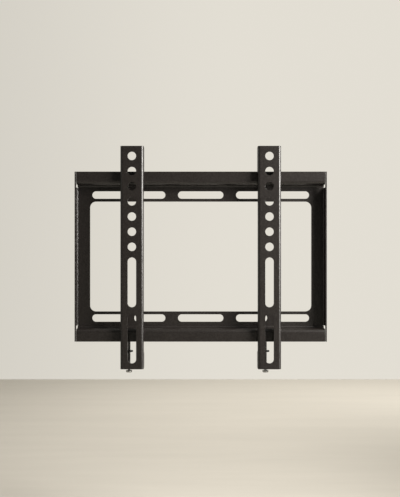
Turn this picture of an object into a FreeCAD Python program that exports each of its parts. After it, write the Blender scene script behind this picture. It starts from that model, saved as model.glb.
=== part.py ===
import FreeCAD, Part
import Sketcher
import math
import os
from types import SimpleNamespace

# Fixed television wall mount: a folded wall plate, two channel arms that hook over its lips,
# and a safety screw in each arm that passes up behind the lower lip.
# Frame: origin at the middle of the wall face, +Z up, the wall on the +Y side, the screen on the -Y side.
# All lengths are in millimetres.

SIZES = {
    # Wall plate
    "plate_width": 251.4,  # over the outer faces of the side flanges
    "plate_sheet": 1.2,  # sheet thickness of the wall plate
    "plate_depth": 13.0,  # wall to the front of the lips and side flanges
    "shelf_spread": 144.0,  # between the inner faces of the upper and lower shelves
    "lip_rise": 12.75,  # shelf's inner face to the lip's free edge
    "lip_bend": 2.5,  # inside radius of the shelf and lip folds
    "side_bend": 1.3,  # inside radius of the side flange folds
    "ear_depth": 3.5,  # front strip of a side flange that runs on past the corner cut
    "corner_gap": 0.45,  # ends of the shelves and lips to the side flanges
    "corner_relief": 0.2,  # side flange's end to the start of the shelf's fold
    "side_rail": 14.2,  # plate left at each side of the window
    "window_corner": 6.0,  # corner radius of the window
    "slot_height": 7.5,  # width of a wall bolt slot
    "slot_inset": 10.0,  # shelf's inner face to a slot's middle line
    "slot_window_strip": 2.9,  # sheet left between the slots and the window
    "slot_side_inset": 16.4,  # plate's side to the end of the outermost slot
    "middle_slot_length": 45.8,  # end to end
    "inner_bridge": 12.7,  # sheet between the middle slot and its neighbours
    "outer_bridge": 10.7,  # sheet between the two slots of a side
    # Arms
    "arm_spread": 136.3,  # between the arms' middle lines
    "arm_width": 23.0,
    "arm_sheet": 1.5,  # sheet thickness of the arms
    "arm_bend": 1.0,  # inside radius of the arms' folds
    "flange_depth": 6.5,  # arm's front face to the plain flange edge
    "lip_clearance": 0.5,  # play of an arm in front of and behind a lip
    "hook_rise": 25.0,  # upper lip's edge to the arm's top
    "hook_floor_gap": 3.8,  # upper shelf to the end of the hook's tongue
    "tongue_depth": 5.3,  # hook's tongue, measured away from the lip
    "tongue_corner": 1.5,
    "hook_corner": 3.0,
    "foot_reach": 26.75,  # lower lip's edge to the arm's bottom
    "foot_height": 15.4,
    "foot_corner": 5.0,
    "hole_diameter": 8.4,  # screen bolt holes, and the width of the screen bolt slots
    "hole_pitch": 15.0,
    "hole_count": 7,
    "slot_spacing": 14.7,  # last hole to the upper slot, and slot to slot, between end middles
    "end_margin": 10.0,  # arm's end to the middle of its first hole or slot end
    # Safety screws and the tabs that carry them
    "screw_diameter": 3.0,
    "screw_clearance": 0.05,  # radial play in the tab's thread
    "screw_offset": 3.5,  # screw's axis to the arm's middle line
    "screw_lip_gap": 1.0,  # back of the lower lip to the screw
    "screw_cover": 6.25,  # length of screw that stands behind the lower lip
    "screw_tip_round": 0.5,
    "tab_width": 8.0,
    "head_diameter": 6.0,
    "head_height": 2.2,
    "head_round": 1.2,
    "head_gap": 2.0,  # arm's bottom to the underside of the head
    "recess_span": 3.2,  # cross recess, tip to tip
    "recess_width": 0.8,
    "recess_depth": 1.2,
}

# How a sketch numbers the points of a line or arc, and its own two axes
START, END, CENTRE = range(1, 4)
LEVEL_AXIS, UPRIGHT_AXIS = range(-1, -3, -1)
ORIGIN_POINT = (LEVEL_AXIS, START)


class Size:
    """A number that remembers the sheet expression it comes from."""

    def __init__(self, value, text):
        self.value = value
        self.text = text

    def __add__(self, other):
        other = as_size(other)
        return Size(self.value + other.value, f"({self.text} + {other.text})")

    def __sub__(self, other):
        other = as_size(other)
        return Size(self.value - other.value, f"({self.text} - {other.text})")

    def __mul__(self, other):
        other = as_size(other)
        return Size(self.value * other.value, f"({self.text} * {other.text})")

    def __truediv__(self, other):
        other = as_size(other)
        return Size(self.value / other.value, f"({self.text} / {other.text})")

    def __neg__(self):
        return Size(-self.value, f"(0 - {self.text})")


def as_size(item):
    """Take a plain number as a size of its own."""
    if isinstance(item, Size):
        return item
    return Size(float(item), str(item))


ZERO = as_size(0)


def make_sheet(doc):
    """Write the driving dimensions into a sheet and return them by name."""
    sheet = doc.addObject("Spreadsheet::Sheet", "sizes")
    for row, (alias, value) in enumerate(SIZES.items(), start=1):
        sheet.set(f"A{row}", alias)
        sheet.set(f"B{row}", str(value))
        sheet.setAlias(f"B{row}", alias)
    doc.recompute()
    cells = {alias: Size(float(sheet.get(alias)), f"sizes.{alias}") for alias in SIZES}
    return SimpleNamespace(**cells)


def work_out_fits(size):
    """Places that more than one piece shares, measured in the part's frame."""
    fit = SimpleNamespace()
    # Lips: y is negative towards the screen
    fit.shelf_inner = size.shelf_spread / 2
    fit.shelf_outer = fit.shelf_inner + size.plate_sheet
    fit.lip_edge = fit.shelf_inner + size.lip_rise
    fit.lip_front = -size.plate_depth
    fit.lip_back = fit.lip_front + size.plate_sheet
    # Arms hang with their notch on the upper lip's edge
    fit.arm_back = fit.lip_front - size.lip_clearance
    fit.arm_front = fit.arm_back - size.flange_depth
    fit.arm_top = fit.lip_edge + size.hook_rise
    fit.arm_bottom = -(fit.lip_edge + size.foot_reach)
    fit.foot_top = fit.arm_bottom + size.foot_height
    fit.tab_under = fit.foot_top + size.arm_bend
    # Safety screw
    fit.screw_x = -size.screw_offset
    fit.screw_y = fit.lip_back + size.screw_lip_gap + size.screw_diameter / 2
    fit.foot_back = fit.screw_y + size.tab_width / 2
    fit.head_under = fit.arm_bottom - size.head_gap
    fit.screw_tip = size.screw_cover - fit.lip_edge
    return fit


def new_body(doc, label):
    body = doc.addObject("PartDesign::Body", label)
    body.Label = label
    return body


def origin_feature(body, role):
    return next(item for item in body.Origin.OriginFeatures if item.Role == role)


def new_sketch(body, name, role, offset=ZERO):
    """Start a sketch on one of the body's own planes, moved along the plane's normal."""
    sketch = body.newObject("Sketcher::SketchObject", name)
    sketch.AttachmentSupport = [(origin_feature(body, role), "")]
    sketch.MapMode = "FlatFace"
    sketch.setExpression("AttachmentOffset.Base.z", offset.text)
    return sketch


def dimension(sketch, constraint, size):
    index = sketch.addConstraint(constraint)
    sketch.setExpression(f"Constraints[{index}]", size.text)


def hold_across(sketch, geometry, point, size):
    """Dimension a point's place across the sketch, from the origin."""
    if size.value == 0:
        sketch.addConstraint(Sketcher.Constraint("PointOnObject", geometry, point, UPRIGHT_AXIS))
    elif size.value > 0:
        dimension(sketch, Sketcher.Constraint("DistanceX", *ORIGIN_POINT, geometry, point, size.value), size)
    else:
        dimension(sketch, Sketcher.Constraint("DistanceX", geometry, point, *ORIGIN_POINT, -size.value), -size)


def hold_up(sketch, geometry, point, size):
    """Dimension a point's height in the sketch, from the origin."""
    if size.value == 0:
        sketch.addConstraint(Sketcher.Constraint("PointOnObject", geometry, point, LEVEL_AXIS))
    elif size.value > 0:
        dimension(sketch, Sketcher.Constraint("DistanceY", *ORIGIN_POINT, geometry, point, size.value), size)
    else:
        dimension(sketch, Sketcher.Constraint("DistanceY", geometry, point, *ORIGIN_POINT, -size.value), -size)


def arc_between(centre, radius, start, end):
    """A circular arc that runs anticlockwise from start to end."""
    circle = Part.Circle(centre, FreeCAD.Vector(0, 0, 1), radius)
    angles = [math.atan2(point.y - centre.y, point.x - centre.x) for point in (start, end)]
    return Part.ArcOfCircle(circle, *angles)


def draw_outline(sketch, corners):
    """Draw a closed outline of level and upright lines, anticlockwise.

    Each corner is its place across, its place up and, where it is rounded, its radius.
    """
    places = [FreeCAD.Vector(corner[0].value, corner[1].value, 0) for corner in corners]
    radii = [corner[2] if len(corner) > 2 else ZERO for corner in corners]
    count = len(corners)
    headings = [(places[(i + 1) % count] - places[i]).normalize() for i in range(count)]
    arrivals = [places[i] - headings[i - 1] * radii[i].value for i in range(count)]
    departures = [places[i] + headings[i] * radii[i].value for i in range(count)]

    for i in range(count):
        sketch.addGeometry(Part.LineSegment(departures[i], arrivals[(i + 1) % count]), False)
    for i in range(count):
        level = abs(headings[i].x) > abs(headings[i].y)
        sketch.addConstraint(Sketcher.Constraint("Horizontal" if level else "Vertical", i))
        if level:
            hold_up(sketch, i, START, corners[i][1])
        else:
            hold_across(sketch, i, START, corners[i][0])
    for i in range(count):
        incoming = (i - 1) % count
        if radii[i].value == 0:
            sketch.addConstraint(Sketcher.Constraint("Coincident", incoming, END, i, START))
            continue
        left_turn = headings[incoming].cross(headings[i]).z > 0
        middle = arrivals[i] + headings[i] * radii[i].value
        ends = (arrivals[i], departures[i]) if left_turn else (departures[i], arrivals[i])
        arc = sketch.addGeometry(arc_between(middle, radii[i].value, *ends), False)
        first, last = (START, END) if left_turn else (END, START)
        sketch.addConstraint(Sketcher.Constraint("Tangent", incoming, END, arc, first))
        sketch.addConstraint(Sketcher.Constraint("Tangent", arc, last, i, START))
        dimension(sketch, Sketcher.Constraint("Radius", arc, radii[i].value), radii[i])


def draw_slot(sketch, first, last, radius):
    """Draw a round-ended slot between two end centres, each a place across and a place up."""
    start = FreeCAD.Vector(first[0].value, first[1].value, 0)
    end = FreeCAD.Vector(last[0].value, last[1].value, 0)
    along = (end - start).normalize() * radius.value
    side = FreeCAD.Vector(-along.y, along.x, 0)
    near_arc = sketch.addGeometry(arc_between(start, radius.value, start + side, start - side), False)
    right_line = sketch.addGeometry(Part.LineSegment(start - side, end - side), False)
    far_arc = sketch.addGeometry(arc_between(end, radius.value, end - side, end + side), False)
    left_line = sketch.addGeometry(Part.LineSegment(end + side, start + side), False)
    ring = [near_arc, right_line, far_arc, left_line]
    for piece, following in zip(ring, ring[1:] + ring[:1]):
        sketch.addConstraint(Sketcher.Constraint("Tangent", piece, END, following, START))
    for arc, place in ((near_arc, first), (far_arc, last)):
        hold_across(sketch, arc, CENTRE, place[0])
        hold_up(sketch, arc, CENTRE, place[1])
        dimension(sketch, Sketcher.Constraint("Radius", arc, radius.value), radius)


def draw_circle(sketch, across, up, diameter):
    middle = FreeCAD.Vector(across.value, up.value, 0)
    circle = sketch.addGeometry(Part.Circle(middle, FreeCAD.Vector(0, 0, 1), diameter.value / 2), False)
    hold_across(sketch, circle, CENTRE, across)
    hold_up(sketch, circle, CENTRE, up)
    dimension(sketch, Sketcher.Constraint("Diameter", circle, diameter.value), diameter)


def pad(body, sketch, name, length, side="Symmetric"):
    feature = body.newObject("PartDesign::Pad", name)
    feature.Profile = sketch
    feature.SideType = side
    feature.setExpression("Length", length.text)
    return feature


def cut_through(body, sketch, name):
    """Cut a sketch right through the body, both ways from its plane."""
    feature = body.newObject("PartDesign::Pocket", name)
    feature.Profile = sketch
    feature.Type = "ThroughAll"
    feature.SideType = "Symmetric"
    return feature


def mirror(body, name, originals, role):
    feature = body.newObject("PartDesign::Mirrored", name)
    feature.Originals = originals
    feature.MirrorPlane = (origin_feature(body, role), [""])
    body.Tip = feature
    return feature


def mirror_both_ways(body, name, originals):
    """Repeat features in the other three quarters of the plate."""
    feature = body.newObject("PartDesign::MultiTransform", name)
    feature.Originals = originals
    flips = []
    for role in ("YZ_Plane", "XY_Plane"):
        flip = body.Document.addObject("PartDesign::Mirrored", f"{name}_flip")
        flip.MirrorPlane = (origin_feature(body, role), [""])
        flips.append(flip)
    feature.Transformations = flips
    body.Tip = feature
    return feature


def make_wall_plate(doc, size, fit):
    """One folded sheet: back, shelves, lips and side flanges, with the window and the wall bolt slots."""
    body = new_body(doc, "wall_plate")
    sheet = size.plate_sheet
    half_width = size.plate_width / 2
    lip_bend_outer = size.lip_bend + sheet
    side_bend_outer = size.side_bend + sheet
    back_half = half_width - side_bend_outer
    strip_half = half_width - sheet - size.corner_gap
    fold_start = fit.shelf_inner - size.lip_bend
    corner_cut = fold_start - size.corner_relief

    # Upper half of the back, shelf and lip as one fold, then the lower half
    fold = new_sketch(body, "fold_profile", "YZ_Plane")
    draw_outline(fold, [
        (-sheet, ZERO),
        (ZERO, ZERO),
        (ZERO, fit.shelf_outer, lip_bend_outer),
        (fit.lip_back, fit.shelf_outer, size.lip_bend),
        (fit.lip_back, fit.lip_edge),
        (fit.lip_front, fit.lip_edge),
        (fit.lip_front, fit.shelf_inner, lip_bend_outer),
        (-sheet, fit.shelf_inner, size.lip_bend),
    ])
    upper_fold = pad(body, fold, "upper_fold", strip_half * 2)
    mirror(body, "lower_fold", [upper_fold], "XY_Plane")

    # Between the shelves' folds the back ends where the side flanges' folds start
    edge = new_sketch(body, "back_edge", "XZ_Plane")
    draw_outline(edge, [
        (back_half, -fold_start),
        (half_width, -fold_start),
        (half_width, fold_start),
        (back_half, fold_start),
    ])
    trim = cut_through(body, edge, "right_trim")
    mirror(body, "left_trim", [trim], "YZ_Plane")

    # Side flange between the corner cuts, and its front strip that runs the plate's full height
    flange_root = back_half - size.side_rail / 2
    turn = new_sketch(body, "flange_profile", "XY_Plane")
    draw_outline(turn, [
        (flange_root, ZERO),
        (flange_root, -sheet),
        (half_width - sheet, -sheet, size.side_bend),
        (half_width - sheet, fit.lip_front),
        (half_width, fit.lip_front),
        (half_width, ZERO, side_bend_outer),
    ])
    flange = pad(body, turn, "right_flange", corner_cut * 2)
    strip = new_sketch(body, "ear_profile", "XY_Plane")
    draw_outline(strip, [
        (half_width - sheet, fit.lip_front),
        (half_width, fit.lip_front),
        (half_width, fit.lip_front + size.ear_depth),
        (half_width - sheet, fit.lip_front + size.ear_depth),
    ])
    ears = pad(body, strip, "right_ears", fit.lip_edge * 2)
    mirror(body, "left_flange", [flange, ears], "YZ_Plane")

    # Window
    slot_line = fit.shelf_inner - size.slot_inset
    window_top = slot_line - size.slot_height / 2 - size.slot_window_strip
    window_side = half_width - size.side_rail
    opening = new_sketch(body, "window_outline", "XZ_Plane")
    draw_outline(opening, [
        (-window_side, -window_top, size.window_corner),
        (window_side, -window_top, size.window_corner),
        (window_side, window_top, size.window_corner),
        (-window_side, window_top, size.window_corner),
    ])
    cut_through(body, opening, "window")

    # Wall bolt slots: one in the middle of a rail and two at each side, which share what is left
    slot_radius = size.slot_height / 2
    slots_end = half_width - size.slot_side_inset
    inner_start = size.middle_slot_length / 2 + size.inner_bridge
    side_slot = (slots_end - inner_start - size.outer_bridge) / 2
    spans = [
        (-(size.middle_slot_length / 2), size.middle_slot_length / 2),
        (inner_start, inner_start + side_slot),
        (slots_end - side_slot, slots_end),
    ]
    row = new_sketch(body, "slot_outlines", "XZ_Plane")
    for start, end in spans:
        draw_slot(row, (start + slot_radius, slot_line), (end - slot_radius, slot_line), slot_radius)
    slots = cut_through(body, row, "slots")
    mirror_both_ways(body, "wall_slots", [slots])
    return body


def make_arm(doc, label, side, size, fit):
    """One folded channel with its hook, foot, screen bolt holes and screw tab."""
    body = new_body(doc, label)
    sheet = size.arm_sheet
    bend_outer = size.arm_bend + sheet
    half_width = size.arm_width / 2
    tongue_front = fit.lip_back + size.lip_clearance
    tongue_back = tongue_front + size.tongue_depth
    tongue_end = fit.shelf_outer + size.hook_floor_gap

    # Outline of the flanges seen from the side, then the hollow of the channel and its two folds
    flank = new_sketch(body, f"{label}_flank", "YZ_Plane")
    draw_outline(flank, [
        (fit.arm_front, fit.arm_bottom),
        (fit.foot_back, fit.arm_bottom, size.foot_corner),
        (fit.foot_back, fit.foot_top),
        (fit.arm_back, fit.foot_top),
        (fit.arm_back, fit.lip_edge),
        (tongue_front, fit.lip_edge),
        (tongue_front, tongue_end, size.tongue_corner),
        (tongue_back, tongue_end, size.tongue_corner),
        (tongue_back, fit.arm_top, size.hook_corner),
        (fit.arm_front, fit.arm_top),
    ])
    pad(body, flank, f"{label}_block", size.arm_width)
    hollow = new_sketch(body, f"{label}_hollow", "XY_Plane")
    draw_outline(hollow, [
        (sheet - half_width, fit.arm_front + sheet, size.arm_bend),
        (half_width - sheet, fit.arm_front + sheet, size.arm_bend),
        (half_width - sheet, ZERO),
        (sheet - half_width, ZERO),
    ])
    channel = cut_through(body, hollow, f"{label}_channel")
    doc.recompute()
    folds = body.newObject("PartDesign::Fillet", f"{label}_folds")
    folds.Base = (channel, front_corner_edges(channel.Shape, half_width.value, fit.arm_front.value))
    folds.setExpression("Radius", bend_outer.text)

    # Round holes for the upper screen bolts
    first_hole = fit.arm_top - size.end_margin
    ring = new_sketch(body, f"{label}_hole", "XZ_Plane")
    draw_circle(ring, ZERO, first_hole, size.hole_diameter)
    hole = cut_through(body, ring, f"{label}_first_hole")
    holes = body.newObject("PartDesign::LinearPattern", f"{label}_holes")
    holes.Originals = [hole]
    holes.Direction = (origin_feature(body, "Z_Axis"), [""])
    holes.Reversed = True
    holes.Mode = "Spacing"
    holes.setExpression("Offset", size.hole_pitch.text)
    holes.setExpression("Occurrences", size.hole_count.text)
    body.Tip = holes

    # Two slots share the length below the holes
    slot_radius = size.hole_diameter / 2
    last_hole = first_hole - size.hole_pitch * (size.hole_count - 1)
    slots_top = last_hole - size.slot_spacing
    slots_bottom = fit.arm_bottom + size.end_margin
    reach = (slots_top - slots_bottom - size.slot_spacing) / 2
    lanes = new_sketch(body, f"{label}_slot_outlines", "XZ_Plane")
    draw_slot(lanes, (ZERO, slots_top - reach), (ZERO, slots_top), slot_radius)
    draw_slot(lanes, (ZERO, slots_bottom), (ZERO, slots_bottom + reach), slot_radius)
    cut_through(body, lanes, f"{label}_slots")

    # Screw tab, folded inwards from the top of the left flange's foot, with a round end
    tab_over = fit.tab_under + sheet
    leg_end = fit.foot_top - size.foot_height / 2
    tongue = new_sketch(body, f"{label}_tab_profile", "XZ_Plane", -fit.screw_y)
    draw_outline(tongue, [
        (-half_width, leg_end),
        (sheet - half_width, leg_end),
        (sheet - half_width, fit.tab_under, size.arm_bend),
        (fit.screw_x, fit.tab_under),
        (fit.screw_x, tab_over),
        (-half_width, tab_over, bend_outer),
    ])
    pad(body, tongue, f"{label}_tab", size.tab_width)
    tab_end = new_sketch(body, f"{label}_tab_end", "XY_Plane", fit.tab_under)
    draw_circle(tab_end, fit.screw_x, fit.screw_y, size.tab_width)
    pad(body, tab_end, f"{label}_tab_round", sheet, "One side")
    thread = new_sketch(body, f"{label}_thread", "XY_Plane", fit.tab_under)
    draw_circle(thread, fit.screw_x, fit.screw_y, size.screw_diameter + size.screw_clearance * 2)
    cut_through(body, thread, f"{label}_thread_hole")

    body.setExpression("Placement.Base.x", (size.arm_spread / 2 * side).text)
    return body


def front_corner_edges(shape, half_width, front):
    """Names of the two long edges where the flanges meet the front face."""
    names = []
    for number, edge in enumerate(shape.Edges, start=1):
        middle = edge.CenterOfMass
        at_side = math.isclose(abs(middle.x), half_width, abs_tol=1e-6)
        at_front = math.isclose(middle.y, front, abs_tol=1e-6)
        if at_side and at_front:
            names.append(f"Edge{number}")
    return names


def make_safety_screw(doc, label, side, size, fit):
    """A pan head machine screw, head down, on the axis of its arm's tab."""
    body = new_body(doc, label)
    shank = size.screw_diameter / 2
    head = size.head_diameter / 2
    length = fit.screw_tip - fit.head_under
    half = new_sketch(body, f"{label}_profile", "XZ_Plane")
    draw_outline(half, [
        (ZERO, -size.head_height),
        (head, -size.head_height, size.head_round),
        (head, ZERO),
        (shank, ZERO),
        (shank, length, size.screw_tip_round),
        (ZERO, length),
    ])
    turned = body.newObject("PartDesign::Revolution", f"{label}_turned")
    turned.Profile = half
    turned.ReferenceAxis = (half, ["V_Axis"])

    arm = size.recess_span / 2
    slit = size.recess_width / 2
    cross = new_sketch(body, f"{label}_cross", "XY_Plane", -size.head_height)
    draw_outline(cross, [
        (slit, slit), (slit, arm), (-slit, arm), (-slit, slit),
        (-arm, slit), (-arm, -slit), (-slit, -slit), (-slit, -arm),
        (slit, -arm), (slit, -slit), (arm, -slit), (arm, slit),
    ])
    recess = body.newObject("PartDesign::Pocket", f"{label}_recess")
    recess.Profile = cross
    recess.Reversed = True
    recess.setExpression("Length", size.recess_depth.text)

    body.setExpression("Placement.Base.x", (size.arm_spread / 2 * side + fit.screw_x).text)
    body.setExpression("Placement.Base.y", fit.screw_y.text)
    body.setExpression("Placement.Base.z", fit.head_under.text)
    return body


def check_model(doc, bodies):
    """Stop before anything is written if a feature failed, cut nothing or left a bad shape."""
    doc.recompute()
    for item in doc.Objects:
        if "Invalid" in item.State or "Error" in item.State:
            raise RuntimeError(f"{item.Name} failed: {item.State}")
        if item.TypeId == "PartDesign::Pocket":
            if item.Shape.Volume >= item.BaseFeature.Shape.Volume:
                raise RuntimeError(f"{item.Name} cut nothing")
    for body in bodies:
        if body.Shape.isNull() or not body.Shape.isValid() or len(body.Shape.Solids) != 1:
            raise RuntimeError(f"{body.Label} is not one valid solid")


def main():
    doc = FreeCAD.newDocument("television_wall_mount")
    size = make_sheet(doc)
    fit = work_out_fits(size)
    bodies = [make_wall_plate(doc, size, fit)]
    for name, side in (("left", -1), ("right", 1)):
        bodies.append(make_arm(doc, f"{name}_arm", side, size, fit))
        bodies.append(make_safety_screw(doc, f"{name}_safety_screw", side, size, fit))
    check_model(doc, bodies)
    os.makedirs("parts", exist_ok=True)
    for body in bodies:
        body.Shape.exportStep(f"parts/{body.Label}.step")
        box = body.Shape.BoundBox
        print(f"{body.Label}: {body.Shape.Volume:.0f} cubic mm, x {box.XMin:.2f} to {box.XMax:.2f}, "
              f"y {box.YMin:.2f} to {box.YMax:.2f}, z {box.ZMin:.2f} to {box.ZMax:.2f}")


main()
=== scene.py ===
import math

import bmesh
import bpy
from bpy.props import FloatProperty, FloatVectorProperty, IntProperty, PointerProperty
from bpy.types import Operator, Panel, PropertyGroup
from mathutils import Matrix, Vector


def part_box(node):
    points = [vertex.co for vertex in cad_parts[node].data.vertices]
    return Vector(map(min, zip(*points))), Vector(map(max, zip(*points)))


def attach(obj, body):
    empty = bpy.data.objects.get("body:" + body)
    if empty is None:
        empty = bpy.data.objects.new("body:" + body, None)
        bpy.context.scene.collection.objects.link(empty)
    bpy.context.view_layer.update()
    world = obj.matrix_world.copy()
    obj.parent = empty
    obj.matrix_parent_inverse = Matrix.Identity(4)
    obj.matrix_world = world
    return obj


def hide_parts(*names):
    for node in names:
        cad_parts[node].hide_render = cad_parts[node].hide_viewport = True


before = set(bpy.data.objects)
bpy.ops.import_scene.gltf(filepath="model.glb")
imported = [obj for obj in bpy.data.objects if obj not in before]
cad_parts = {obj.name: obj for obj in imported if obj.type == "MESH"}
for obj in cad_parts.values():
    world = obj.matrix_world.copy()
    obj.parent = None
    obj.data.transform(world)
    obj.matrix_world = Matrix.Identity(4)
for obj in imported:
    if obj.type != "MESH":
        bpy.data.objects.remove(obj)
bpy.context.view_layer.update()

bl_info = {
    "name": "Fixed Screen Wall Mount",
    "version": (1, 0, 0),
    "blender": (4, 5, 0),
    "location": "3D View > Sidebar > Wall Mount",
    "description": "Coats the folded steel parts, cuts the screw threads and sets up the studio",
    "category": "Object",
}

MM = 0.001

COATED_PLATE = {"wall_plate": "coated_wall_plate"}
COATED_ARMS = {"left_arm": "coated_left_arm", "right_arm": "coated_right_arm"}
PLATED_SCREWS = {"left_safety_screw": "plated_left_screw", "right_safety_screw": "plated_right_screw"}

SCREW_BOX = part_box("left_safety_screw")
HEAD_RADIUS = (SCREW_BOX[1].x - SCREW_BOX[0].x) / 2
SCREW_LENGTH = SCREW_BOX[1].z - SCREW_BOX[0].z
TIP_CHAMFER = 0.5 * MM


class CoatProperties(PropertyGroup):
    """The black powder coat on the folded steel."""
    colour: FloatVectorProperty(
        name="Coat colour", description="Body colour of the cured powder",
        subtype="COLOR", size=3, min=0.0, max=1.0, default=(0.0072, 0.0055, 0.0047))
    roughness: FloatProperty(
        name="Coat roughness", description="How far the satin surface spreads a reflection",
        subtype="FACTOR", min=0.0, max=1.0, default=0.36)
    grain_size: FloatProperty(
        name="Grain size", description="Spacing of the fine bumps that powder leaves",
        unit="LENGTH", min=0.05 * MM, max=5 * MM, default=1.5 * MM)
    grain_depth: FloatProperty(
        name="Grain depth", description="Height of the fine bumps",
        unit="LENGTH", min=0.0, max=0.5 * MM, default=0.008 * MM)
    plate_edge_round: FloatProperty(
        name="Plate edge round", description="Rounding that paint leaves on the wall plate's cut edges",
        unit="LENGTH", min=0.0, max=0.5 * MM, default=0.04 * MM)
    arm_edge_round: FloatProperty(
        name="Arm edge round", description="Rounding that punching and paint leave on the arms' cut edges",
        unit="LENGTH", min=0.0, max=0.6 * MM, default=0.14 * MM)


class ScrewProperties(PropertyGroup):
    """The two plated safety screws."""
    colour: FloatVectorProperty(
        name="Plating colour", description="Colour of the dulled zinc",
        subtype="COLOR", size=3, min=0.0, max=1.0, default=(0.42, 0.41, 0.39))
    roughness: FloatProperty(
        name="Plating roughness", description="How far the plating spreads a reflection",
        subtype="FACTOR", min=0.0, max=1.0, default=0.48)
    shank_radius: FloatProperty(
        name="Shank radius", description="Radius over the crests of the thread",
        unit="LENGTH", min=0.5 * MM, max=3 * MM, default=1.5 * MM)
    thread_depth: FloatProperty(
        name="Thread depth", description="Height of the thread above its root",
        unit="LENGTH", min=0.0, max=1 * MM, default=0.30 * MM)
    thread_pitch: FloatProperty(
        name="Thread pitch", description="Rise of the thread in one turn",
        unit="LENGTH", min=0.2 * MM, max=2 * MM, default=0.5 * MM)
    turn_steps: IntProperty(
        name="Steps per turn", description="Straight steps in one turn of the thread",
        subtype="UNSIGNED", min=8, max=64, default=24)
    head_height: FloatProperty(
        name="Head height", description="Height of the pan head",
        unit="LENGTH", min=0.5 * MM, max=5 * MM, default=2.2 * MM)
    recess_span: FloatProperty(
        name="Recess span", description="Width over the cross recess",
        unit="LENGTH", min=0.5 * MM, max=5 * MM, default=3.2 * MM)
    recess_depth: FloatProperty(
        name="Recess depth", description="Depth of the cross recess",
        unit="LENGTH", min=0.2 * MM, max=2 * MM, default=1.2 * MM)


class StageProperties(PropertyGroup):
    """Floor, surround and lights."""
    surround_colour: FloatVectorProperty(
        name="Surround colour", description="Pale colour of the studio round the object",
        subtype="COLOR", size=3, min=0.0, max=1.0, default=(0.722, 0.690, 0.618))
    floor_colour: FloatVectorProperty(
        name="Floor colour", description="Pale colour of the floor",
        subtype="COLOR", size=3, min=0.0, max=1.0, default=(0.58, 0.551, 0.495))
    floor_drop: FloatProperty(
        name="Floor drop", description="How far the floor lies under the wall plate's centre",
        unit="LENGTH", min=0.12, max=2.0, default=0.30)
    side_power: FloatProperty(
        name="Side light", description="Power of the soft light at the right, in front and above",
        unit="POWER", min=0.0, max=500.0, default=6.3)
    back_floor_power: FloatProperty(
        name="Back floor light", description="Power of the soft light over the floor behind the object",
        unit="POWER", min=0.0, max=500.0, default=4.3)
    front_floor_power: FloatProperty(
        name="Front floor light", description="Power of the wide light over the floor before the object",
        unit="POWER", min=0.0, max=500.0, default=26.0)


def add_node(tree, kind, **values):
    """A new node with these values on its inputs, by socket name."""
    node = tree.nodes.new(kind)
    for name, value in values.items():
        node.inputs[name.replace("_", " ")].default_value = value
    return node


def add_math(tree, operation, *values):
    """The result of a Math node whose inputs are numbers or other nodes' outputs."""
    node = tree.nodes.new("ShaderNodeMath")
    node.operation = operation
    for socket, value in zip(node.inputs, values):
        if isinstance(value, (int, float)):
            socket.default_value = value
        else:
            tree.links.new(value, socket)
    return node.outputs[0]


def add_vector_math(tree, operation, vector):
    """A Vector Math node with this vector on its first input."""
    node = tree.nodes.new("ShaderNodeVectorMath")
    node.operation = operation
    tree.links.new(vector, node.inputs[0])
    return node


def add_range(tree, value, low, high):
    """Spread a value from 0..1 to low..high."""
    node = add_node(tree, "ShaderNodeMapRange", To_Min=low, To_Max=high)
    tree.links.new(value, node.inputs["Value"])
    return node.outputs["Result"]


def make_grain_group():
    """Fine bumps and slow drifts of tone over a metal finish."""
    pit_share = 0.6
    tree = bpy.data.node_groups.new("finish_grain", "ShaderNodeTree")
    for name in ("Grain Scale", "Drift Scale"):
        tree.interface.new_socket(name, in_out="INPUT", socket_type="NodeSocketFloat")
    for name in ("Height", "Speckle", "Drift"):
        tree.interface.new_socket(name, in_out="OUTPUT", socket_type="NodeSocketFloat")
    start = tree.nodes.new("NodeGroupInput")
    end = tree.nodes.new("NodeGroupOutput")
    place = tree.nodes.new("ShaderNodeTexCoord")

    bumps = add_node(tree, "ShaderNodeTexNoise", Detail=2.0, Roughness=0.55)
    pits = tree.nodes.new("ShaderNodeTexVoronoi")
    pits.feature = "SMOOTH_F1"
    slow = add_node(tree, "ShaderNodeTexNoise", Detail=4.0, Roughness=0.6)
    for node, scale in ((bumps, "Grain Scale"), (pits, "Grain Scale"), (slow, "Drift Scale")):
        tree.links.new(place.outputs["Object"], node.inputs["Vector"])
        tree.links.new(start.outputs[scale], node.inputs["Scale"])
    height = add_math(tree, "MULTIPLY", pits.outputs["Distance"], pit_share)
    height = add_math(tree, "ADD", height, bumps.outputs["Fac"])
    tree.links.new(height, end.inputs["Height"])
    tree.links.new(bumps.outputs["Fac"], end.inputs["Speckle"])
    tree.links.new(slow.outputs["Fac"], end.inputs["Drift"])
    return tree


def finish_grain(tree, grain_size, drift_size):
    """The shared grain group, placed in one material with its own spacing."""
    node = tree.nodes.new("ShaderNodeGroup")
    node.node_tree = bpy.data.node_groups.get("finish_grain") or make_grain_group()
    node.inputs["Grain Scale"].default_value = 1.0 / grain_size
    node.inputs["Drift Scale"].default_value = 1.0 / drift_size
    return node


def start_material(name):
    """A new material with its node tree and shader."""
    material = bpy.data.materials.new(name)
    material.use_nodes = True
    tree = material.node_tree
    return material, tree, tree.nodes["Principled BSDF"]


def tone_ramp(tree, value, dark, light):
    """Mix two colours by a value that changes over the surface."""
    mix = tree.nodes.new("ShaderNodeMix")
    mix.data_type = "RGBA"
    tree.links.new(value, mix.inputs["Factor"])
    colours = [socket for socket in mix.inputs if socket.type == "RGBA"]
    for socket, colour in zip(colours, (dark, light)):
        socket.default_value = (*colour, 1.0)
    return next(socket for socket in mix.outputs if socket.type == "RGBA")


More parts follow.
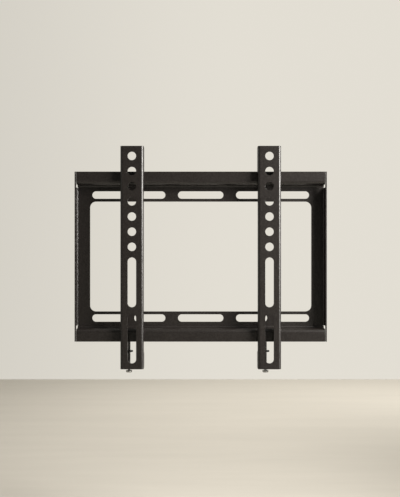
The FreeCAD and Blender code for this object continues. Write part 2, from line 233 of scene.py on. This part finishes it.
def add_bump(tree, shader, height, depth):
    """Raise the surface by this height field, depth metres from low to high."""
    bump = add_node(tree, "ShaderNodeBump", Strength=1.0, Distance=depth)
    tree.links.new(height, bump.inputs["Height"])
    tree.links.new(bump.outputs["Normal"], shader.inputs["Normal"])


def coat_material(coat):
    """Black powder coat: satin, finely grained, with slow drifts of tone and gloss."""
    found = bpy.data.materials.get("satin_black_coat")
    if found:
        return found
    drift_size = 45 * MM
    speckle_share, drift_share = 0.6, 0.4
    darkest, lightest = 0.3, 1.7
    gloss_drift = 0.04
    material, tree, shader = start_material("satin_black_coat")
    grain = finish_grain(tree, coat.grain_size, drift_size)
    speckle = add_math(tree, "MULTIPLY", grain.outputs["Speckle"], speckle_share)
    drift = add_math(tree, "MULTIPLY", grain.outputs["Drift"], drift_share)
    tone = add_math(tree, "ADD", speckle, drift)
    body = Vector(coat.colour)
    tree.links.new(tone_ramp(tree, tone, body * darkest, body * lightest), shader.inputs["Base Color"])
    gloss = add_range(tree, grain.outputs["Drift"],
                      coat.roughness - gloss_drift, coat.roughness + gloss_drift)
    tree.links.new(gloss, shader.inputs["Roughness"])
    shader.inputs["Specular IOR Level"].default_value = 0.25
    shader.inputs["Coat Roughness"].default_value = coat.roughness
    tree.links.new(grain.outputs["Speckle"], shader.inputs["Coat Weight"])
    add_bump(tree, shader, grain.outputs["Height"], coat.grain_depth)
    return material


def plating_material(screw):
    """Dulled zinc on steel: fine crystals with a faint warm and cool drift."""
    found = bpy.data.materials.get("dulled_zinc")
    if found:
        return found
    crystal_size, crystal_depth = 0.25 * MM, 0.004 * MM
    drift_size = 4 * MM
    cool_share = Vector((0.82, 0.86, 0.93))
    smoother, rougher = 0.10, 0.12
    material, tree, shader = start_material("dulled_zinc")
    shader.inputs["Metallic"].default_value = 1.0
    grain = finish_grain(tree, crystal_size, drift_size)
    zinc = Vector(screw.colour)
    tone = tone_ramp(tree, grain.outputs["Drift"], zinc * cool_share, zinc)
    tree.links.new(tone, shader.inputs["Base Color"])
    gloss = add_range(tree, grain.outputs["Speckle"], screw.roughness - smoother, screw.roughness + rougher)
    tree.links.new(gloss, shader.inputs["Roughness"])
    add_bump(tree, shader, grain.outputs["Height"], crystal_depth)
    return material


def add_object(name, mesh):
    """A new object at the origin with this mesh."""
    piece = bpy.data.objects.new(name, mesh)
    bpy.context.scene.collection.objects.link(piece)
    return piece


def to_object(name, shape):
    """Hand a bmesh over to a new object."""
    mesh = bpy.data.meshes.new(name)
    shape.to_mesh(mesh)
    shape.free()
    return add_object(name, mesh)


def settle(piece):
    """Turn the modifiers of a piece into plain mesh."""
    bpy.context.view_layer.update()
    graph = bpy.context.evaluated_depsgraph_get()
    mesh = bpy.data.meshes.new_from_object(piece.evaluated_get(graph), depsgraph=graph)
    piece.modifiers.clear()
    piece.data = mesh
    mesh.name = piece.name


def keep_inside(mesh, low, high):
    """Bring any point that rounding pushed out back to the box of its CAD node."""
    for point in mesh.vertices:
        point.co = [min(max(value, least), most) for value, least, most in zip(point.co, low, high)]


def merged_sheet(node):
    """A copy of a CAD node's mesh with its triangles merged into whole faces."""
    same_point = 0.001 * MM
    same_plane = math.radians(0.5)
    sheet = bmesh.new()
    sheet.from_mesh(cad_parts[node].data)
    bmesh.ops.remove_doubles(sheet, verts=sheet.verts, dist=same_point)
    bmesh.ops.dissolve_limit(sheet, angle_limit=same_plane, use_dissolve_boundaries=False,
                             verts=sheet.verts, edges=sheet.edges)
    return sheet


def coat_sheet(node, name, coat, edge_round):
    """A coated copy of a folded sheet with its cut edges rounded, in place of the CAD node."""
    cut_edge_angle = math.radians(40)
    piece = to_object(name, merged_sheet(node))
    piece.data.materials.clear()
    piece.data.materials.append(coat_material(coat))
    piece.data.shade_smooth()
    rounding = piece.modifiers.new("cut_edges", "BEVEL")
    rounding.width = edge_round
    rounding.segments = 3
    rounding.limit_method = "ANGLE"
    rounding.angle_limit = cut_edge_angle
    rounding.use_clamp_overlap = False
    shading = piece.modifiers.new("flat_faces", "WEIGHTED_NORMAL")
    shading.weight = 100
    settle(piece)
    keep_inside(piece.data, *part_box(node))
    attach(piece, node)
    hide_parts(node)


def turn_profile(profile, steps):
    """Spin a list of (radius, height) points round the Z axis; radius 0 makes a pole."""
    shape = bmesh.new()
    turns = [2 * math.pi * step / steps for step in range(steps)]
    rings = []
    for radius, height in profile:
        if radius == 0:
            rings.append([shape.verts.new((0, 0, height))])
            continue
        rings.append([shape.verts.new((radius * math.cos(a), radius * math.sin(a), height)) for a in turns])
    for lower, upper in zip(rings, rings[1:]):
        for step in range(steps):
            after = (step + 1) % steps
            corners = [lower[step % len(lower)], lower[after % len(lower)],
                       upper[after % len(upper)], upper[step % len(upper)]]
            shape.faces.new(list(dict.fromkeys(corners)))
    bmesh.ops.recalc_face_normals(shape, faces=shape.faces)
    return shape


def round_corner(centre, radius, start, end, steps):
    """Points of an arc in the profile plane, angles in degrees."""
    angles = [math.radians(start + (end - start) * step / steps) for step in range(steps + 1)]
    return [(centre[0] + radius * math.cos(a), centre[1] + radius * math.sin(a)) for a in angles]


def screw_blank(screw):
    """The turned screw before its thread: pan head down, core of the shank up."""
    crown, rim, neck = 0.9 * MM, 0.12 * MM, 0.25 * MM
    chamfer_slope = 0.7
    turn_steps = 48
    core = screw.shank_radius - screw.thread_depth
    tip = core - TIP_CHAMFER * chamfer_slope
    head = screw.head_height
    profile = [(0, 0)]
    profile += round_corner((HEAD_RADIUS - crown, crown), crown, 270, 360, 8)
    profile += round_corner((HEAD_RADIUS - rim, head - rim), rim, 0, 90, 3)
    profile += round_corner((core + neck, head + neck), neck, 270, 180, 4)
    profile += [(core, SCREW_LENGTH - TIP_CHAMFER), (tip, SCREW_LENGTH), (0, SCREW_LENGTH)]
    return turn_profile(profile, turn_steps)


def cross_punch(screw):
    """The tapered cross that the head is struck with, from just outside the head to the recess's bottom."""
    lead = 0.3 * MM
    lead_width, mouth_width, bottom_width = 0.46 * MM, 0.44 * MM, 0.26 * MM
    taper = 0.62
    mouth = screw.recess_span / 2
    bottom = mouth * taper
    sections = (
        (-lead, mouth, lead_width),
        (0, mouth, mouth_width),
        (screw.recess_depth, bottom, bottom_width),
    )
    punch = bmesh.new()
    rings = []
    for height, arm, width in sections:
        corners = []
        for quarter in range(4):
            turn = Matrix.Rotation(quarter * math.pi / 2, 3, "Z")
            for x, y in ((arm, -width), (arm, width), (width, width)):
                corners.append(punch.verts.new(turn @ Vector((x, y, height))))
        rings.append(corners)
    for lower, upper in zip(rings, rings[1:]):
        for step in range(len(lower)):
            after = (step + 1) % len(lower)
            punch.faces.new((lower[step], lower[after], upper[after], upper[step]))
    punch.faces.new(rings[0])
    punch.faces.new(rings[-1])
    bmesh.ops.recalc_face_normals(punch, faces=punch.faces)
    return punch


def thread_path(tree, inputs):
    """The helix along the middle of the thread, sunk into the core at both ends."""
    fade_share = 0.02
    link = tree.links.new
    middle = add_math(tree, "MULTIPLY_ADD", inputs["Depth"], 0.5, inputs["Root Radius"])
    helix = tree.nodes.new("GeometryNodeCurveSpiral")
    link(inputs["Turn Steps"], helix.inputs["Resolution"])
    link(add_math(tree, "DIVIDE", inputs["Length"], inputs["Pitch"]), helix.inputs["Rotations"])
    link(middle, helix.inputs["Start Radius"])
    link(middle, helix.inputs["End Radius"])
    link(inputs["Length"], helix.inputs["Height"])

    along = tree.nodes.new("GeometryNodeSplineParameter").outputs["Factor"]
    from_ends = add_math(tree, "PINGPONG", along, 0.5)
    fade = add_node(tree, "ShaderNodeMapRange", From_Max=fade_share, To_Min=1.0, To_Max=0.0)
    link(from_ends, fade.inputs["Value"])
    sink = add_math(tree, "MULTIPLY", fade.outputs["Result"], inputs["Depth"])
    sink = add_math(tree, "MULTIPLY", sink, -1.0)
    position = tree.nodes.new("GeometryNodeInputPosition").outputs[0]
    level = add_vector_math(tree, "MULTIPLY", position)
    level.inputs[1].default_value = (1, 1, 0)
    outward = add_vector_math(tree, "NORMALIZE", level.outputs[0])
    shift = add_vector_math(tree, "SCALE", outward.outputs[0])
    link(sink, shift.inputs["Scale"])
    faded = tree.nodes.new("GeometryNodeSetPosition")
    link(helix.outputs[0], faded.inputs["Geometry"])
    link(shift.outputs[0], faded.inputs["Offset"])
    upright = tree.nodes.new("GeometryNodeSetCurveNormal")
    upright.mode = "Z_UP"
    link(faded.outputs[0], upright.inputs[0])
    return upright.outputs[0]


def thread_ridge(tree, inputs):
    """The thread's section: wide at the root, narrow at the crest, and facing outwards."""
    root_share, crest_share = 0.9, 0.14
    link = tree.links.new
    ridge = tree.nodes.new("GeometryNodeCurvePrimitiveQuadrilateral")
    ridge.mode = "TRAPEZOID"
    link(add_math(tree, "MULTIPLY", inputs["Pitch"], root_share), ridge.inputs["Bottom Width"])
    link(add_math(tree, "MULTIPLY", inputs["Pitch"], crest_share), ridge.inputs["Top Width"])
    link(inputs["Depth"], ridge.inputs["Height"])
    ridge.inputs["Offset"].default_value = 0.0
    facing = add_node(tree, "GeometryNodeTransform", Rotation=(0, 0, math.radians(90)))
    link(ridge.outputs[0], facing.inputs["Geometry"])
    return facing.outputs[0]


def make_thread_tree():
    """Geometry nodes that wind a thread round a shank that stands on the origin."""
    tree = bpy.data.node_groups.new("wound_thread", "GeometryNodeTree")
    face = tree.interface
    face.new_socket("Geometry", in_out="INPUT", socket_type="NodeSocketGeometry")
    for name in ("Root Radius", "Depth", "Pitch", "Start", "Length"):
        face.new_socket(name, in_out="INPUT", socket_type="NodeSocketFloat")
    face.new_socket("Turn Steps", in_out="INPUT", socket_type="NodeSocketInt")
    face.new_socket("Finish", in_out="INPUT", socket_type="NodeSocketMaterial")
    face.new_socket("Geometry", in_out="OUTPUT", socket_type="NodeSocketGeometry")
    inputs = tree.nodes.new("NodeGroupInput").outputs
    end = tree.nodes.new("NodeGroupOutput")
    link = tree.links.new

    swept = add_node(tree, "GeometryNodeCurveToMesh", Fill_Caps=True)
    link(thread_path(tree, inputs), swept.inputs["Curve"])
    link(thread_ridge(tree, inputs), swept.inputs["Profile Curve"])
    lift = tree.nodes.new("ShaderNodeCombineXYZ")
    link(inputs["Start"], lift.inputs["Z"])
    raised = tree.nodes.new("GeometryNodeTransform")
    link(swept.outputs[0], raised.inputs["Geometry"])
    link(lift.outputs[0], raised.inputs["Translation"])
    joined = tree.nodes.new("GeometryNodeJoinGeometry")
    link(inputs["Geometry"], joined.inputs[0])
    link(raised.outputs[0], joined.inputs[0])
    real = tree.nodes.new("GeometryNodeRealizeInstances")
    link(joined.outputs[0], real.inputs[0])
    painted = tree.nodes.new("GeometryNodeSetMaterial")
    link(real.outputs[0], painted.inputs["Geometry"])
    link(inputs["Finish"], painted.inputs["Material"])
    link(painted.outputs[0], end.inputs[0])
    return tree


def set_inputs(modifier, **values):
    """Set a node modifier's inputs, each found by name and set by identifier."""
    for item in modifier.node_group.interface.items_tree:
        if item.item_type == "SOCKET" and item.in_out == "INPUT":
            name = item.name.replace(" ", "_").lower()
            if name in values:
                modifier[item.identifier] = values[name]


def strike_recess(piece, screw):
    """Sink the cross recess into the screw's head."""
    punch = to_object("cross_punch", cross_punch(screw))
    struck = piece.modifiers.new("cross_recess", "BOOLEAN")
    struck.operation = "DIFFERENCE"
    struck.solver = "EXACT"
    struck.object = punch
    settle(piece)
    bpy.data.objects.remove(punch)


def wind_thread(piece, screw):
    """Wind the thread from just above the head to the tip's chamfer."""
    plain_neck = 0.6 * MM
    run_in = screw.head_height + plain_neck
    thread = piece.modifiers.new("thread", "NODES")
    thread.node_group = bpy.data.node_groups.get("wound_thread") or make_thread_tree()
    set_inputs(
        thread,
        root_radius=screw.shank_radius - screw.thread_depth,
        depth=screw.thread_depth,
        pitch=screw.thread_pitch,
        start=run_in,
        length=SCREW_LENGTH - TIP_CHAMFER - run_in,
        turn_steps=screw.turn_steps,
        finish=plating_material(screw),
    )
    settle(piece)


def plate_screw(node, name, screw):
    """A threaded pan head screw in place of the CAD node."""
    sharp_edge_angle = math.radians(32)
    piece = to_object(name, screw_blank(screw))
    strike_recess(piece, screw)
    wind_thread(piece, screw)
    low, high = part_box(node)
    centre = (low + high) / 2
    piece.data.transform(Matrix.Translation((centre.x, centre.y, low.z)))
    piece.data.shade_smooth()
    piece.data.set_sharp_from_angle(angle=sharp_edge_angle)
    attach(piece, node)
    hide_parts(node)


class WALLMOUNT_OT_plate(Operator):
    """Coat the folded wall plate."""
    bl_idname = "wall_mount.plate"
    bl_label = "Wall Plate"

    def execute(self, context):
        coat = context.scene.mount_coat
        for node, name in COATED_PLATE.items():
            coat_sheet(node, name, coat, coat.plate_edge_round)
        return {"FINISHED"}


class WALLMOUNT_OT_arms(Operator):
    """Coat the two folded arms."""
    bl_idname = "wall_mount.arms"
    bl_label = "Arms"

    def execute(self, context):
        coat = context.scene.mount_coat
        for node, name in COATED_ARMS.items():
            coat_sheet(node, name, coat, coat.arm_edge_round)
        return {"FINISHED"}


class WALLMOUNT_OT_screws(Operator):
    """Turn, thread and plate the two safety screws."""
    bl_idname = "wall_mount.screws"
    bl_label = "Safety Screws"

    def execute(self, context):
        for node, name in PLATED_SCREWS.items():
            plate_screw(node, name, context.scene.mount_screw)
        return {"FINISHED"}


def floor_material(stage):
    """Pale matte floor with a faint level grain, and painted shade that makes it darker towards the front
    left.
    """
    grain_share, base_tone = 0.28, -0.2
    painted_light_rise_right, painted_light_rise_back = 0.55, 0.75
    darkest, lightest = 0.8, 1.3
    material, tree, shader = start_material("pale_floor")
    place = tree.nodes.new("ShaderNodeTexCoord")
    stretch = add_node(tree, "ShaderNodeMapping", Scale=(1.2, 6.0, 1.0))
    tree.links.new(place.outputs["Object"], stretch.inputs["Vector"])
    grain = add_node(tree, "ShaderNodeTexNoise", Scale=3.0, Detail=6.0, Roughness=0.6)
    tree.links.new(stretch.outputs["Vector"], grain.inputs["Vector"])
    split = tree.nodes.new("ShaderNodeSeparateXYZ")
    tree.links.new(place.outputs["Object"], split.inputs[0])
    tone = add_math(tree, "MULTIPLY_ADD", grain.outputs["Fac"], grain_share, base_tone)
    # Painted shade: the floor's colour falls towards the front and the left, standing in for light that
    # falls off there.
    tone = add_math(tree, "MULTIPLY_ADD", split.outputs["Y"], painted_light_rise_back, tone)
    tone = add_math(tree, "MULTIPLY_ADD", split.outputs["X"], painted_light_rise_right, tone)
    pale = Vector(stage.floor_colour)
    tree.links.new(tone_ramp(tree, tone, pale * darkest, pale * lightest), shader.inputs["Base Color"])
    shader.inputs["Roughness"].default_value = 0.9
    shader.inputs["Specular IOR Level"].default_value = 0.1
    return material


def make_floor(stage):
    """A level floor that ends behind the object."""
    half_width, front, back = 3.0, -2.5, 1.36
    corners = [(-half_width, front), (half_width, front), (half_width, back), (-half_width, back)]
    floor = bmesh.new()
    floor.faces.new([floor.verts.new((x, y, -stage.floor_drop)) for x, y in corners])
    piece = to_object("floor", floor)
    piece.data.materials.append(floor_material(stage))


def add_glow(tree, direction, start, full, low, high):
    """A smooth change from low to high while one part of the direction goes from start to full."""
    node = add_node(tree, "ShaderNodeMapRange", From_Min=start, From_Max=full, To_Min=low, To_Max=high)
    node.interpolation_type = "SMOOTHSTEP"
    tree.links.new(direction, node.inputs["Value"])
    return node.outputs["Result"]


def make_surround(stage):
    """A studio seen as pale from every side that lights the object from behind, above and the left."""
    world = bpy.data.worlds.new("studio_surround")
    bpy.context.scene.world = world
    world.use_nodes = True
    tree = world.node_tree
    direction = tree.nodes.new("ShaderNodeTexCoord")
    split = tree.nodes.new("ShaderNodeSeparateXYZ")
    tree.links.new(direction.outputs["Generated"], split.inputs[0])
    seen = add_glow(tree, split.outputs["X"], start=-0.32, full=0.06, low=0.87, high=1.06)
    behind = add_glow(tree, split.outputs["Y"], start=0.5, full=0.9, low=0.12, high=0.65)
    above = add_glow(tree, split.outputs["Z"], start=0.45, full=0.85, low=0.0, high=0.36)
    left = add_glow(tree, split.outputs["X"], start=-0.4, full=-0.85, low=0.0, high=0.7)
    lit = add_math(tree, "ADD", add_math(tree, "ADD", behind, above), left)
    strength = tree.nodes.new("ShaderNodeMix")
    camera_ray = tree.nodes.new("ShaderNodeLightPath").outputs["Is Camera Ray"]
    tree.links.new(camera_ray, strength.inputs["Factor"])
    tree.links.new(lit, strength.inputs["A"])
    tree.links.new(seen, strength.inputs["B"])
    background = tree.nodes["Background"]
    background.inputs["Color"].default_value = (*stage.surround_colour, 1.0)
    tree.links.new(strength.outputs["Result"], background.inputs["Strength"])


def make_light(name, place, target, width, height, power, spread):
    """A soft, slightly warm rectangular light that faces its target; spread in degrees."""
    lamp = bpy.data.lights.new(name, "AREA")
    lamp.shape = "RECTANGLE"
    lamp.size = width
    lamp.size_y = height
    lamp.energy = power
    lamp.color = (1.0, 0.97, 0.92)
    lamp.spread = math.radians(spread)
    light = bpy.data.objects.new(name, lamp)
    light.location = place
    light.rotation_euler = (Vector(target) - Vector(place)).to_track_quat("-Z", "Y").to_euler()
    light.visible_camera = False
    bpy.context.scene.collection.objects.link(light)


def make_lights(stage):
    """One light at the side of the object and two that face straight down on the floor."""
    make_light("side_light", place=(0.566, -0.327, 0.251), target=(0, 0, 0),
               width=0.3, height=0.55, power=stage.side_power, spread=85.0)
    make_light("back_floor_light", place=(0.42, 0.95, 0.9), target=(0.42, 0.95, 0),
               width=1.4, height=0.8, power=stage.back_floor_power, spread=85.0)
    make_light("front_floor_light", place=(0.0, -1.5, 1.0), target=(0.0, -1.5, 0),
               width=5.0, height=1.8, power=stage.front_floor_power, spread=60.0)


def make_camera():
    """A level camera one metre in front of the arms."""
    lens = bpy.data.cameras.new("camera")
    lens.lens = 73.2
    lens.sensor_width = 36.0
    lens.clip_start = 0.01
    camera = bpy.data.objects.new("camera", lens)
    camera.location = (-0.0007, -1.020, 0.0081)
    camera.rotation_euler = (math.radians(90), 0, 0)
    bpy.context.scene.collection.objects.link(camera)
    bpy.context.scene.camera = camera


class WALLMOUNT_OT_stage(Operator):
    """Set up the floor, the surround, the lights and the camera."""
    bl_idname = "wall_mount.stage"
    bl_label = "Stage"

    def execute(self, context):
        stage = context.scene.mount_stage
        make_floor(stage)
        make_surround(stage)
        make_lights(stage)
        make_camera()
        context.scene.view_settings.view_transform = "Standard"
        return {"FINISHED"}


class WALLMOUNT_PT_panel(Panel):
    """Lists the settings and the steps that dress the wall mount."""
    bl_label = "Wall Mount"
    bl_idname = "WALLMOUNT_PT_panel"
    bl_space_type = "VIEW_3D"
    bl_region_type = "UI"
    bl_category = "Wall Mount"

    def draw(self, context):
        layout = self.layout
        for group in (context.scene.mount_coat, context.scene.mount_screw, context.scene.mount_stage):
            box = layout.box()
            for name in group.bl_rna.properties.keys():
                if name not in {"rna_type", "name"}:
                    box.prop(group, name)
        for operator in OPERATORS:
            layout.operator(operator.bl_idname)


GROUPS = {"mount_coat": CoatProperties, "mount_screw": ScrewProperties, "mount_stage": StageProperties}
OPERATORS = (WALLMOUNT_OT_plate, WALLMOUNT_OT_arms, WALLMOUNT_OT_screws, WALLMOUNT_OT_stage)


def register():
    for group in GROUPS.values():
        bpy.utils.register_class(group)
    for name, group in GROUPS.items():
        setattr(bpy.types.Scene, name, PointerProperty(type=group))
    for operator in OPERATORS:
        bpy.utils.register_class(operator)
    bpy.utils.register_class(WALLMOUNT_PT_panel)


def unregister():
    bpy.utils.unregister_class(WALLMOUNT_PT_panel)
    for operator in reversed(OPERATORS):
        bpy.utils.unregister_class(operator)
    for name in GROUPS:
        delattr(bpy.types.Scene, name)
    for group in reversed(list(GROUPS.values())):
        bpy.utils.unregister_class(group)


def main():
    register()
    bpy.ops.wall_mount.plate()
    bpy.ops.wall_mount.arms()
    bpy.ops.wall_mount.screws()
    bpy.ops.wall_mount.stage()


if __name__ == "__main__":
    main()
